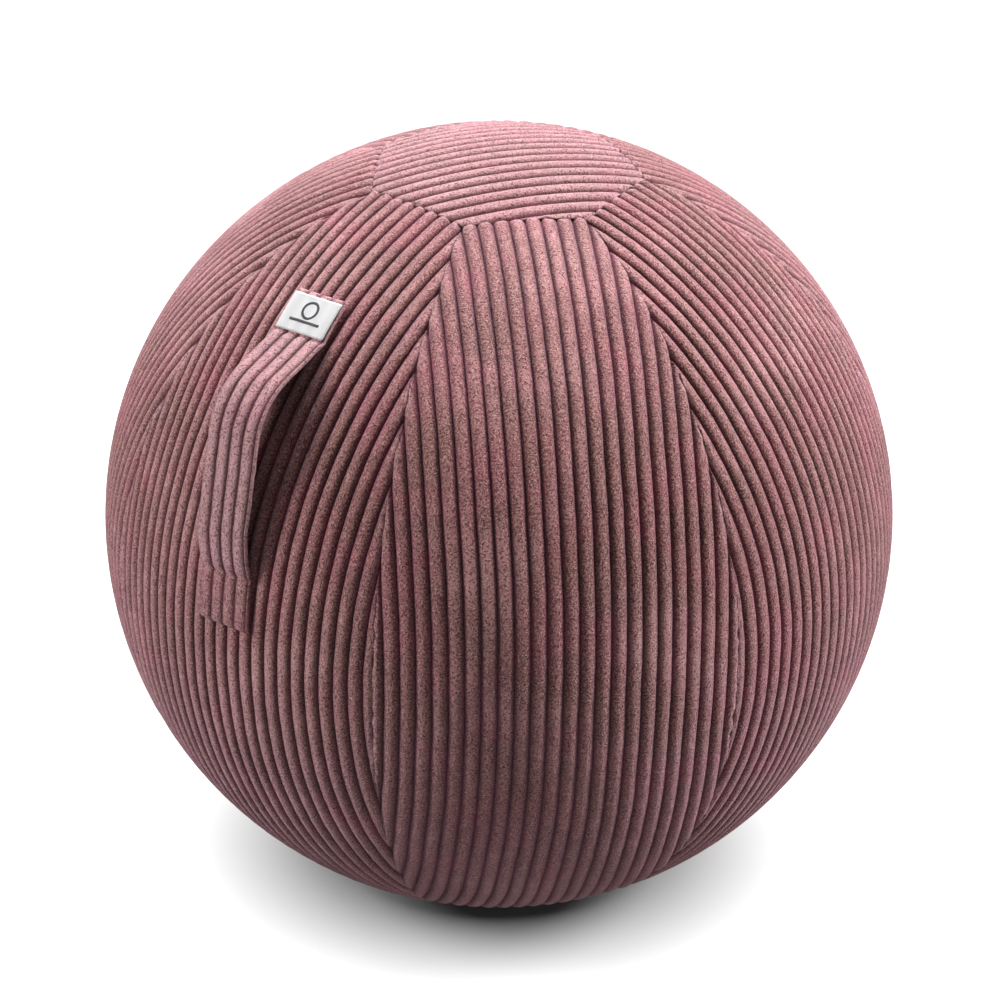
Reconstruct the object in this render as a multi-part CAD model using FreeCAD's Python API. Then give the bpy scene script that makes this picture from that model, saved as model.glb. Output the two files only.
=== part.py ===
import FreeCAD, Part
import math
import os

from FreeCAD import Vector

# An inflatable sitting and exercise ball in a sewn corduroy cover, standing on its foot.
# Millimetres and degrees, +Z up. The origin is the middle of the foot, on the floor.
# An azimuth is counted from the handle's side (-Y) towards +X. A latitude is counted
# from the ball's equator, positive upwards.

# Ball and cover
ball_radius = 325.0         # over the crests of the corduroy
foot_radius = 80.0          # flat patch that the ball stands on
cover_thickness = 3.2       # corduroy with its backing
base_thickness = 3.0        # coated cloth under the ball
gore_count = 7
top_corner_angle = 20.2     # from the ball's top to each corner of the top panel
base_angle = 28.0           # from the ball's bottom to the base panel's seam

# Inflatable ball inside the cover
bladder_wall = 1.0
valve_plug_radius = 4.0
valve_plug_length = 13.0
valve_head_radius = 8.0
valve_head_thickness = 1.8
valve_fit = 0.05            # radial clearance of the plug in its seat
valve_head_gap = 0.2        # between the plug's head and its seat, pushed home
valve_seat_wall = 4.0       # of the collar around the plug
valve_seat_length = 15.0
valve_flange_radius = 16.0
valve_flange_thickness = 1.2

# Sand-filled ring sewn to the base panel
ring_width = 36.0
ring_edge_gap = 4.0         # from the ring to the edge of the foot
ring_height = 12.0
ring_sleeve = 1.5
ring_rounding = 4.0
ring_to_bladder = 0.3

# Zip along the back of the base seam. "Across" is measured up along the cover from the
# seam, "out" is measured outwards from the cover's surface.
zip_middle = 180.0          # azimuth
zip_gores = 4               # the zip runs along the lower edges of this many gores
zip_slot_half = 6.0
tape_width = 14.0           # each tape, from the middle of the zip
tape_overrun = 2.0          # degrees that the tapes run on past the slot
tape_thickness = 1.0
tape_proud = 0.4            # how far the tapes stand in from the cover's inner face
tape_split = 0.6            # from the middle to each tape's edge
chain_inner = 0.5           # from the middle to the near side of each row of teeth
chain_outer = 3.0
chain_height = 1.8
chain_margin = 2.0          # degrees between the slot's end and the teeth
stop_arc = 0.8              # degrees
stop_width = 3.2
stop_height = 2.2
slider_length = 12.0
slider_half_width = 4.6
slider_plate = 1.1
slider_gap = 0.3            # running gap over the teeth and under the tapes
slider_to_bladder = 0.5
slider_flange_gap = 0.4     # beside the teeth and above the tapes
slider_web = 0.5
slider_stop_gap = 0.1       # degrees left between slider and stop
bail_half_length = 1.7
bail_ear = 1.0
bail_inside = 2.0           # from the middle to each ear
bail_height = 3.6
bail_pin_radius = 0.8
bail_pin_out = 2.0          # pin's centre above the slider's top plate
pull_fit = 0.05
pull_eye_radius = 1.7
pull_eye_side_gap = 0.2
pull_thickness = 1.6
pull_length = 22.0
pull_half_width = 4.0
pull_shoulder = 4.5         # from the pin to where the pull grows wide
pull_rounding = 2.5

# Handle: a strap sewn down at both ends, with a loop that stands off the ball
strap_width = 50.0
strap_cord = 3.0
strap_webbing = 1.2
strap_lining = 0.8
strap_turn = 3.1            # the strap leans this much from the gore's own line
strap_shift = 0.8           # azimuth of the strap's middle
upper_end_latitude = 53.2
upper_fold_latitude = 46.6
lower_fold_latitude = 12.6
lower_end_latitude = 5.2
loop_knee_latitude = 17.0
loop_knee_height = 11.0     # inner face of the strap above the ball
loop_crown_latitude = 35.5
loop_crown_height = 33.0
loop_rounding = 32.0
loop_end_room = 12.0        # fixed length of strap between each fold and the swinging loop
loop_end_gap = 0.4

# Woven label over the strap's upper end
label_width = 48.0
label_thickness = 0.6
label_top_latitude = 52.5
label_bottom_latitude = 46.9

# Worked out from the values above
foot_to_centre = math.sqrt(ball_radius ** 2 - foot_radius ** 2)
centre = Vector(0, 0, foot_to_centre)
up = Vector(0, 0, 1)
gore_step = 360.0 / gore_count
strap_thickness = strap_cord + strap_webbing + strap_lining
tape_top = tape_thickness - cover_thickness - tape_proud
cover_slack = tape_proud + slider_gap + slider_plate + slider_to_bladder
bladder_radius = ball_radius - cover_thickness - cover_slack
ring_outer_radius = foot_radius - ring_edge_gap
ring_inner_radius = ring_outer_radius - ring_width
bladder_floor = base_thickness + ring_height + ring_to_bladder
zip_line_radius = ball_radius * math.sin(math.radians(base_angle))
zip_start = zip_middle - zip_gores * gore_step / 2
zip_end = zip_middle + zip_gores * gore_step / 2
chain_start = zip_start + chain_margin
chain_end = zip_end - chain_margin
chain_top = tape_top + chain_height
slider_half_arc = math.degrees(slider_length / 2 / zip_line_radius)
slider_azimuth = chain_end - stop_arc - slider_stop_gap - slider_half_arc
slider_top = chain_top + slider_gap + slider_plate


def meridian_point(latitude, radius):
    """Point above the handle side's meridian, at a distance from the ball's centre."""
    angle = math.radians(latitude)
    return centre + Vector(0, -radius * math.cos(angle), radius * math.sin(angle))


def turned(shape, azimuth):
    """Copy of a shape, turned about the ball's upright axis."""
    copy = shape.copy()
    copy.rotate(centre, up, azimuth)
    return copy


def shell_sector(inner_radius, outer_radius, low_latitude, high_latitude, azimuth, sweep):
    """Piece of a round shell between two latitudes, starting at an azimuth."""
    middle = (low_latitude + high_latitude) / 2
    outer = Part.Arc(meridian_point(low_latitude, outer_radius),
                     meridian_point(middle, outer_radius),
                     meridian_point(high_latitude, outer_radius)).toShape()
    inner = Part.Arc(meridian_point(high_latitude, inner_radius),
                     meridian_point(middle, inner_radius),
                     meridian_point(low_latitude, inner_radius)).toShape()
    top = Part.makeLine(outer.Vertexes[-1].Point, inner.Vertexes[0].Point)
    bottom = Part.makeLine(inner.Vertexes[-1].Point, outer.Vertexes[0].Point)
    section = Part.Face(Part.Wire([outer, top, inner, bottom]))
    return turned(section.revolve(centre, up, sweep), azimuth)


def flattened_ball(radius, floor):
    """Ball about the shared centre, cut off flat at a height above the floor."""
    size = 2 * radius
    block = Part.makeBox(2 * size, 2 * size, size, Vector(-size, -size, floor - size))
    return Part.makeSphere(radius, centre).cut(block)


def top_pyramid():
    """Pyramid from the ball's centre through the corners of the top panel."""
    height = 1.2 * ball_radius
    reach = height * math.tan(math.radians(top_corner_angle))
    corners = []
    for number in range(gore_count):
        azimuth = math.radians((number - 0.5) * gore_step)
        corners.append(centre + Vector(reach * math.sin(azimuth), -reach * math.cos(azimuth), height))
    faces = [Part.Face(Part.makePolygon(corners + corners[:1]))]
    for number in range(gore_count):
        edge = [corners[number - 1], corners[number], centre, corners[number - 1]]
        faces.append(Part.Face(Part.makePolygon(edge)))
    return Part.makeSolid(Part.makeShell(faces))


def zip_point(across, out):
    """Point on the handle side's meridian, placed from the zip's line on the cover."""
    angle = math.radians(base_angle)
    radius = ball_radius + out
    return centre + Vector(0, -radius * math.sin(angle) - across * math.cos(angle),
                           -radius * math.cos(angle) + across * math.sin(angle))


def zip_bar(across_from, across_to, out_from, out_to, azimuth_from, azimuth_to):
    """Bar of rectangular section that follows the zip's line."""
    corners = [zip_point(across_from, out_from), zip_point(across_to, out_from),
               zip_point(across_to, out_to), zip_point(across_from, out_to)]
    section = Part.Face(Part.makePolygon(corners + corners[:1]))
    return turned(section.revolve(centre, up, azimuth_to - azimuth_from), azimuth_from)


def zip_tape(side):
    """One tape. Side 1 is sewn to the gores, side -1 to the base panel."""
    return zip_bar(side * tape_split, side * tape_width, tape_top - tape_thickness, tape_top,
                   zip_start - tape_overrun, zip_end + tape_overrun)


def zip_chain(side):
    """One row of teeth on its tape's edge."""
    return zip_bar(side * chain_inner, side * chain_outer, tape_top, chain_top,
                   chain_start, chain_end - stop_arc)


def zip_top_stops():
    """The two stops at the closed end, one on each row of teeth."""
    stops = []
    for side in (1, -1):
        stops.append(zip_bar(side * chain_inner, side * stop_width, tape_top, tape_top + stop_height,
                             chain_end - stop_arc, chain_end))
    return Part.makeCompound(stops)


def zip_bottom_stop():
    """The single stop that joins both rows at the open end."""
    return zip_bar(-stop_width, stop_width, tape_top, tape_top + stop_height,
                   chain_start - stop_arc, chain_start)


def opened_for_zip(panel):
    """A cover panel with the zip's slot and the rebates for its tapes."""
    slot = zip_bar(-zip_slot_half, zip_slot_half, -2 * cover_thickness, cover_thickness,
                   zip_start, zip_end)
    return panel.cut([slot, zip_tape(1), zip_tape(-1)])


def side_gore(number):
    """One of the long panels between the top panel and the base panel."""
    high_latitude = 90 - top_corner_angle / 2
    gore = shell_sector(ball_radius - cover_thickness, ball_radius, base_angle - 90, high_latitude,
                        (number - 0.5) * gore_step, gore_step)
    return opened_for_zip(gore.cut(top_pyramid()))


def top_panel():
    """Panel with one edge for each gore."""
    low_latitude = 90 - 2 * top_corner_angle
    cap = flattened_ball(ball_radius, meridian_point(low_latitude, ball_radius).z)
    return cap.cut(Part.makeSphere(ball_radius - cover_thickness, centre)).common(top_pyramid())


def base_panel():
    """Round panel that carries the flat foot."""
    bowl = flattened_ball(ball_radius, 0)
    bowl = bowl.cut(flattened_ball(ball_radius - base_thickness, base_thickness))
    angle = math.radians(base_angle)
    reach = 2 * ball_radius
    rim_cone = Part.makeCone(0, reach * math.tan(angle), reach, centre, -up)
    return opened_for_zip(bowl.common(rim_cone))


def weight_ring(inset):
    """The ring's round-edged body, made smaller all over by the inset."""
    outer = Part.makeCylinder(ring_outer_radius - inset, ring_height - 2 * inset,
                              Vector(0, 0, base_thickness + inset))
    hole = Part.makeCylinder(ring_inner_radius + inset, ring_height,
                             Vector(0, 0, base_thickness))
    ring = outer.cut(hole)
    rims = [edge for edge in ring.Edges if isinstance(edge.Curve, Part.Circle)]
    return ring.makeFillet(ring_rounding - inset, rims)


def bladder():
    """Inflated inner ball, resting on the ring, with a hole for the valve's seat."""
    skin = flattened_ball(bladder_radius, bladder_floor)
    skin = skin.cut(flattened_ball(bladder_radius - bladder_wall, bladder_floor + bladder_wall))
    hole = Part.makeCylinder(valve_plug_radius + valve_seat_wall, 2 * bladder_wall,
                             Vector(0, 0, bladder_floor - bladder_wall / 2))
    return skin.cut(hole)


def valve_seat():
    """Collar through the inner ball's wall, with a flange welded to the inside."""
    floor = Vector(0, 0, bladder_floor)
    collar = Part.makeCylinder(valve_plug_radius + valve_seat_wall, valve_seat_length, floor)
    flange = Part.makeCylinder(valve_flange_radius, valve_flange_thickness,
                               floor + Vector(0, 0, bladder_wall))
    bore = Part.makeCylinder(valve_plug_radius + valve_fit, valve_seat_length, floor)
    return collar.fuse(flange).cut(bore).removeSplitter()


def valve_plug():
    """Push-in plug with a flat head under the seat."""
    head_top = bladder_floor - valve_head_gap
    stem = Part.makeCylinder(valve_plug_radius, valve_plug_length, Vector(0, 0, head_top))
    head = Part.makeCylinder(valve_head_radius, valve_head_thickness,
                             Vector(0, 0, head_top - valve_head_thickness))
    return stem.fuse(head).removeSplitter()


def slider_bar(across_from, across_to, out_from, out_to, half_arc):
    """Bar of the slider, centred on its azimuth at rest."""
    return zip_bar(across_from, across_to, out_from, out_to,
                   slider_azimuth - half_arc, slider_azimuth + half_arc)


def pin_along_seam(radius, half_length):
    """Cylinder across the zip on the pull's axis, at the slider's azimuth."""
    axis = zip_point(1, 0) - zip_point(0, 0)
    start = zip_point(-half_length, slider_top + bail_pin_out)
    return turned(Part.makeCylinder(radius, 2 * half_length, start, axis), slider_azimuth)


def zip_slider():
    """Two plates joined by a web between the rows of teeth, with ears and a pin on top."""
    plate_under = chain_top + slider_gap
    under_top = tape_top - tape_thickness - slider_gap
    flange_start = chain_outer + slider_flange_gap
    ear_end = bail_inside + bail_ear
    bail_half_arc = math.degrees(bail_half_length / zip_line_radius)
    pieces = [slider_bar(-slider_half_width, slider_half_width, plate_under, slider_top,
                         slider_half_arc),
              slider_bar(-slider_half_width, slider_half_width, under_top - slider_plate, under_top,
                         slider_half_arc),
              slider_bar(-slider_web / 2, slider_web / 2, under_top, plate_under, slider_half_arc),
              pin_along_seam(bail_pin_radius, ear_end)]
    for side in (1, -1):
        pieces.append(slider_bar(side * flange_start, side * slider_half_width,
                                 tape_top + slider_flange_gap, plate_under, slider_half_arc))
        pieces.append(slider_bar(side * bail_inside, side * ear_end, slider_top,
                                 slider_top + bail_height, bail_half_arc))
    return pieces[0].fuse(pieces[1:]).removeSplitter()


def zip_pull():
    """Flat tab that hangs from the slider's pin, pointing straight out of the cover."""
    pin_out = slider_top + bail_pin_out
    eye_half = bail_inside - pull_eye_side_gap
    neck = slab_on_zip(eye_half, pin_out, pin_out + pull_shoulder)
    blade = slab_on_zip(pull_half_width, pin_out + pull_shoulder, pin_out + pull_length)
    corners = [edge for edge in blade.Edges if abs(edge.Length - pull_thickness) < pull_fit]
    blade = blade.makeFillet(pull_rounding, corners)
    eye = pin_along_seam(pull_eye_radius, eye_half)
    hole = pin_along_seam(bail_pin_radius + pull_fit, eye_half)
    return eye.fuse([neck, blade]).cut(hole).removeSplitter()


def slab_on_zip(half_width, out_from, out_to):
    """Flat block standing out of the cover at the slider, centred across the zip."""
    corners = [zip_point(-half_width, out_from), zip_point(half_width, out_from),
               zip_point(half_width, out_to), zip_point(-half_width, out_to)]
    section = Part.Face(Part.makePolygon(corners + corners[:1]))
    section.translate(Vector(-pull_thickness / 2, 0, 0))
    return turned(section.extrude(Vector(pull_thickness, 0, 0)), slider_azimuth)


def rounded_path(points, radii):
    """Wire through the points, with each inner corner rounded by its radius."""
    edges = []
    start = points[0]
    for corner, before, after, radius in zip(points[1:-1], points[:-2], points[2:], radii):
        back = (before - corner).normalize()
        ahead = (after - corner).normalize()
        half_turn = (math.pi - back.getAngle(ahead)) / 2
        tangent = radius * math.tan(half_turn)
        inward = (back + ahead).normalize()
        middle = corner + inward * (radius / math.cos(half_turn) - radius)
        arc = Part.Arc(corner + back * tangent, middle, corner + ahead * tangent)
        edges.append(Part.makeLine(start, arc.StartPoint))
        edges.append(arc.toShape())
        start = arc.EndPoint
    edges.append(Part.makeLine(start, points[-1]))
    return Part.Wire(edges)


def strap_points(lift):
    """Corners of the loop's run, from the lower fold to the upper one, a lift off its inner face."""
    low = meridian_point(lower_fold_latitude, ball_radius)
    knee = meridian_point(loop_knee_latitude, ball_radius + loop_knee_height)
    crown = meridian_point(loop_crown_latitude, ball_radius + loop_crown_height)
    high = meridian_point(upper_fold_latitude, ball_radius)
    run = [low, knee, crown, high]
    normals = []
    for start, end in zip(run[:-1], run[1:]):
        along = (end - start).normalize()
        normals.append(Vector(0, -along.z, along.y))
    lifted = [low + normals[0] * lift]
    for corner, first, second in zip(run[1:-1], normals[:-1], normals[1:]):
        bisector = (first + second).normalize()
        lifted.append(corner + bisector * (lift / bisector.dot(first)))
    lifted.append(high + normals[-1] * lift)
    return lifted


def strap_layer(near, far):
    """Strap between two distances from its inner face, from fold to fold."""
    inner = rounded_path(strap_points(near), [loop_rounding + near] * 2)
    outer = rounded_path(strap_points(far), [loop_rounding + far] * 2)
    ends = [Part.makeLine(strap_points(near)[end], strap_points(far)[end]) for end in (0, -1)]
    section = Part.Face(Part.Wire(Part.sortEdges(inner.Edges + outer.Edges + ends)[0]))
    section.translate(Vector(-strap_width / 2, 0, 0))
    return section.extrude(Vector(strap_width, 0, 0))


def loop_room(gap):
    """Slab between the two planes where the loop's swinging part ends."""
    low = meridian_point(lower_fold_latitude, ball_radius)
    high = meridian_point(upper_fold_latitude, ball_radius)
    along = (high - low).normalize()
    length = (high - low).Length - 2 * (loop_end_room + gap)
    slab = Part.makeBox(2 * strap_width, 2 * strap_width, length,
                        Vector(-strap_width, -strap_width, 0))
    slab.Placement = FreeCAD.Placement(low + along * (loop_end_room + gap),
                                       FreeCAD.Rotation(up, along)) * slab.Placement
    return slab


def strap_patch(inner_radius, outer_radius, low_latitude, high_latitude, width):
    """Piece of strap or label that lies against the ball."""
    reach = math.degrees(width / ball_radius)
    sector = shell_sector(inner_radius, outer_radius, low_latitude, high_latitude, -reach, 2 * reach)
    block = Part.makeBox(width, 2 * ball_radius, 2 * ball_radius,
                         Vector(-width / 2, -2 * ball_radius, centre.z - ball_radius))
    return sector.common(block)


def handle_placed(shape):
    """The handle's pieces turned and shifted together, about the ball's centre."""
    middle = (lower_fold_latitude + upper_fold_latitude) / 2
    outwards = meridian_point(middle, ball_radius) - centre
    copy = shape.copy()
    copy.rotate(centre, outwards, strap_turn)
    return turned(copy, strap_shift)


def loop_layer(near, far):
    """Swinging part of one layer of the strap."""
    return handle_placed(strap_layer(near, far).common(loop_room(loop_end_gap)))


def strap_end(low_latitude, high_latitude, patch_middle):
    """Sewn end of the strap, with the start of the loop standing up from it."""
    patch = strap_patch(ball_radius, ball_radius + strap_thickness,
                        low_latitude, high_latitude, strap_width)
    stubs = strap_layer(0, strap_thickness).cut(loop_room(0))
    stubs = stubs.cut(Part.makeSphere(ball_radius, centre))
    place = meridian_point(patch_middle, ball_radius)
    nearest = min(stubs.Solids, key=lambda stub: stub.CenterOfMass.distanceToPoint(place))
    return handle_placed(patch.fuse(nearest).removeSplitter())


def label():
    """Woven label sewn over the strap's upper end."""
    lift = ball_radius + strap_thickness
    return handle_placed(strap_patch(lift, lift + label_thickness, label_bottom_latitude,
                                     label_top_latitude, label_width))


def all_parts():
    """Every sub-part by its name."""
    parts = {"top_panel": top_panel(), "base_panel": base_panel()}
    for number in range(gore_count):
        parts[f"side_gore_{number + 1}"] = side_gore(number)
    parts["weight_ring_filling"] = weight_ring(ring_sleeve)
    parts["weight_ring_sleeve"] = weight_ring(0).cut(parts["weight_ring_filling"])
    parts["bladder"] = bladder()
    parts["valve_seat"] = valve_seat()
    parts["valve_plug"] = valve_plug()
    parts["zip_tape_outer"] = zip_tape(1)
    parts["zip_tape_inner"] = zip_tape(-1)
    parts["zip_teeth_outer"] = zip_chain(1)
    parts["zip_teeth_inner"] = zip_chain(-1)
    parts["zip_top_stops"] = zip_top_stops()
    parts["zip_bottom_stop"] = zip_bottom_stop()
    parts["zip_slider"] = zip_slider()
    parts["zip_pull"] = zip_pull()
    parts["handle_lining"] = loop_layer(0, strap_lining)
    parts["handle_webbing"] = loop_layer(strap_lining, strap_lining + strap_webbing)
    parts["handle_strap"] = loop_layer(strap_lining + strap_webbing, strap_thickness)
    parts["handle_upper_end"] = strap_end(upper_fold_latitude, upper_end_latitude,
                                          upper_fold_latitude)
    parts["handle_lower_end"] = strap_end(lower_end_latitude, lower_fold_latitude,
                                          lower_fold_latitude)
    parts["label"] = label()
    return parts


def write_parts():
    """Write one STEP file for each sub-part."""
    os.makedirs("parts", exist_ok=True)
    for name, shape in all_parts().items():
        shape.exportStep(f"parts/{name}.step")
        print(name, len(shape.Solids), shape.isValid(), round(shape.Volume / 1000, 2), "cm3")


write_parts()
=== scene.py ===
import math

import bmesh
import bpy
from mathutils import Matrix, Vector, noise
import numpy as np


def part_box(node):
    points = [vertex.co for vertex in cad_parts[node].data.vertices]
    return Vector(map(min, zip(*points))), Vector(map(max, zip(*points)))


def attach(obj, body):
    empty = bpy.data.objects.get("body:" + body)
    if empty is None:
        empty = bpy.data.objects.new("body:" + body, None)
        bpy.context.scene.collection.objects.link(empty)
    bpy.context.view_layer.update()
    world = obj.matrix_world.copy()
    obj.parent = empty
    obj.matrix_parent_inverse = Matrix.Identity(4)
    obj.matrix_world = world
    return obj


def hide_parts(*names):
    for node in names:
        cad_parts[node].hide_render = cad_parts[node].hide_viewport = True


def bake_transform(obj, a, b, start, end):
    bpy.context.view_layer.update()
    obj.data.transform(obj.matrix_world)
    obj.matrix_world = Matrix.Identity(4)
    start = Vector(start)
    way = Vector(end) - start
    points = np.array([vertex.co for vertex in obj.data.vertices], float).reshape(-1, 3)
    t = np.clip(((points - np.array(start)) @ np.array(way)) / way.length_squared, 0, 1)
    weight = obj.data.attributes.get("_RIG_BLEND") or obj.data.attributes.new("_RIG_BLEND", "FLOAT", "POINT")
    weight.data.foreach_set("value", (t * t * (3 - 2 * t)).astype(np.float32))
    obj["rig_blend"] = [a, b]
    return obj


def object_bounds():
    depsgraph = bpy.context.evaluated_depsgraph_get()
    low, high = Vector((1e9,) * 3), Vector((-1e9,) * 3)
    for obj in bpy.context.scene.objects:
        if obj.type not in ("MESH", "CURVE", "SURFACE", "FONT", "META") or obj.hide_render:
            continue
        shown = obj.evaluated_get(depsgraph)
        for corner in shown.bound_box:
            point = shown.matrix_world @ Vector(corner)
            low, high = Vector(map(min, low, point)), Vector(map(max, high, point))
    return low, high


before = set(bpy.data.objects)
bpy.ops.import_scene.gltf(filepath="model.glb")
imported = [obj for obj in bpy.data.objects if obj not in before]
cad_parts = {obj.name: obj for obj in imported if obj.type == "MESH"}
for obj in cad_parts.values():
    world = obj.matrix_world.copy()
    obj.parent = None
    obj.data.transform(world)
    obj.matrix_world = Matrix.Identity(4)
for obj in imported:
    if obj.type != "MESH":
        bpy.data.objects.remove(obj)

cadBox = [list(corner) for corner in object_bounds()]

# the ball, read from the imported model
ballRadius = (cadBox[1][0] - cadBox[0][0]) / 2
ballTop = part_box("top_panel")[1][2]
centre = Vector((0, 0, ballTop - ballRadius))
goreCount = len([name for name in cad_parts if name.startswith("side_gore")])
goreStep = math.tau / goreCount
origin = Vector((0, 0, 0))
rightward = Vector((1, 0, 0))
upward = Vector((0, 0, 1))


# small helpers

def smooth(value):
    t = min(max(value, 0.0), 1.0)
    return t * t * (3 - 2 * t)


def meridianPoint(latitude, radius):
    return Vector((0, -radius * math.cos(latitude), radius * math.sin(latitude)))


def addPiece(name, mesh, material, body="ball", replaces=(), smoothShade=True):
    data = bpy.data.meshes.new(name)
    mesh.to_mesh(data)
    mesh.free()
    piece = bpy.data.objects.new(name, data)
    bpy.context.scene.collection.objects.link(piece)
    data.materials.append(material)
    if smoothShade:
        data.shade_smooth()
    if body:
        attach(piece, body)
    if replaces:
        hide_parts(*replaces)
    return piece


def pointNormalsOut(mesh):
    bmesh.ops.recalc_face_normals(mesh, faces=mesh.faces)


def turnAll(mesh, angle, axis, pivot=origin):
    bmesh.ops.rotate(mesh, cent=pivot, matrix=Matrix.Rotation(angle, 3, axis), verts=mesh.verts)


def giveUv(mesh, place):
    layer = mesh.loops.layers.uv.new("cloth")
    for face in mesh.faces:
        for corner in face.loops:
            corner[layer].uv = place(corner.vert.co)


def giveThickness(piece, thickness):
    wall = piece.modifiers.new("wall", "SOLIDIFY")
    wall.thickness = thickness
    wall.offset = -1


# material helpers

def newMaterial(name):
    material = bpy.data.materials.new(name)
    material.use_nodes = True
    tree = material.node_tree
    return material, tree, tree.nodes["Principled BSDF"]


def addNode(tree, kind, **settings):
    node = tree.nodes.new(kind)
    for key, value in settings.items():
        if key.startswith("in_"):
            node.inputs[key[3:].replace("_", " ")].default_value = value
        else:
            setattr(node, key, value)
    return node


def addRamp(tree, source, stops):
    ramp = tree.nodes.new("ShaderNodeValToRGB")
    ramp.color_ramp.elements[0].position = stops[0][0]
    ramp.color_ramp.elements[0].color = stops[0][1]
    ramp.color_ramp.elements[1].position = stops[-1][0]
    ramp.color_ramp.elements[1].color = stops[-1][1]
    for position, colour in stops[1:-1]:
        ramp.color_ramp.elements.new(position).color = colour
    tree.links.new(source, ramp.inputs["Fac"])
    return ramp.outputs["Color"]


def grey(value):
    return (value, value, value, 1)


def mixColour(tree, factor, first, second, blend="MIX"):
    mix = tree.nodes.new("ShaderNodeMix")
    mix.data_type = "RGBA"
    mix.blend_type = blend
    for socket, value in ((mix.inputs["Factor"], factor), (mix.inputs["A"], first), (mix.inputs["B"], second)):
        putInto(tree, socket, value)
    return mix.outputs["Result"]


def putInto(tree, socket, value):
    if isinstance(value, bpy.types.NodeSocket):
        tree.links.new(value, socket)
    else:
        socket.default_value = value


def calculate(tree, operation, first, second=0.0):
    node = tree.nodes.new("ShaderNodeMath")
    node.operation = operation
    putInto(tree, node.inputs[0], first)
    putInto(tree, node.inputs[1], second)
    return node.outputs[0]


def noiseAt(tree, scale, detail=2.0, rough=0.5, vector=None):
    texture = addNode(tree, "ShaderNodeTexNoise", in_Scale=scale, in_Detail=detail, in_Roughness=rough)
    if vector is None:
        vector = tree.nodes.new("ShaderNodeTexCoord").outputs["Object"]
    tree.links.new(vector, texture.inputs["Vector"])
    return texture.outputs["Fac"]


def bumpFrom(tree, height, distance, strength=1.0, under=None):
    bump = addNode(tree, "ShaderNodeBump", in_Distance=distance, in_Strength=strength)
    tree.links.new(height, bump.inputs["Height"])
    if under is not None:
        tree.links.new(under, bump.inputs["Normal"])
    return bump.outputs["Normal"]


# corduroy pile: the cover and the strap
pile = {
    "grooveShade": (0.085, 0.022, 0.018, 1),      # painted shade down in the grooves, standing in for their shadow
    # painted groove shade, pinker where the grooves would catch light
    "grooveShadeRosy": (0.190, 0.034, 0.052, 1),
    "pit": (0.095, 0.027, 0.024, 1),       # gaps between the tufts
    "body": (0.225, 0.070, 0.058, 1),
    "tip": (0.86, 0.510, 0.465, 1),        # cut ends of the yarn, and the painted highlight along the rib crests
    "rubbed": (0.60, 0.290, 0.290, 1),     # nap brushed the other way
    "lifted": (0.63, 0.380, 0.415, 1),     # pale brushed-up nap, painted paler still as the sheen and light that the strap's loop and the top panel catch
    "rosy": (0.345, 0.070, 0.100, 1),
    "shaded": (0.140, 0.056, 0.038, 1),
    "tuftScale": 760,
    "pitScale": 600,
    "brushScale": 10,
    "sheen": 0.55,
    "sheenTint": (1.0, 0.66, 0.86, 1),
    "tuftBump": 0.0012,
}


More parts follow.
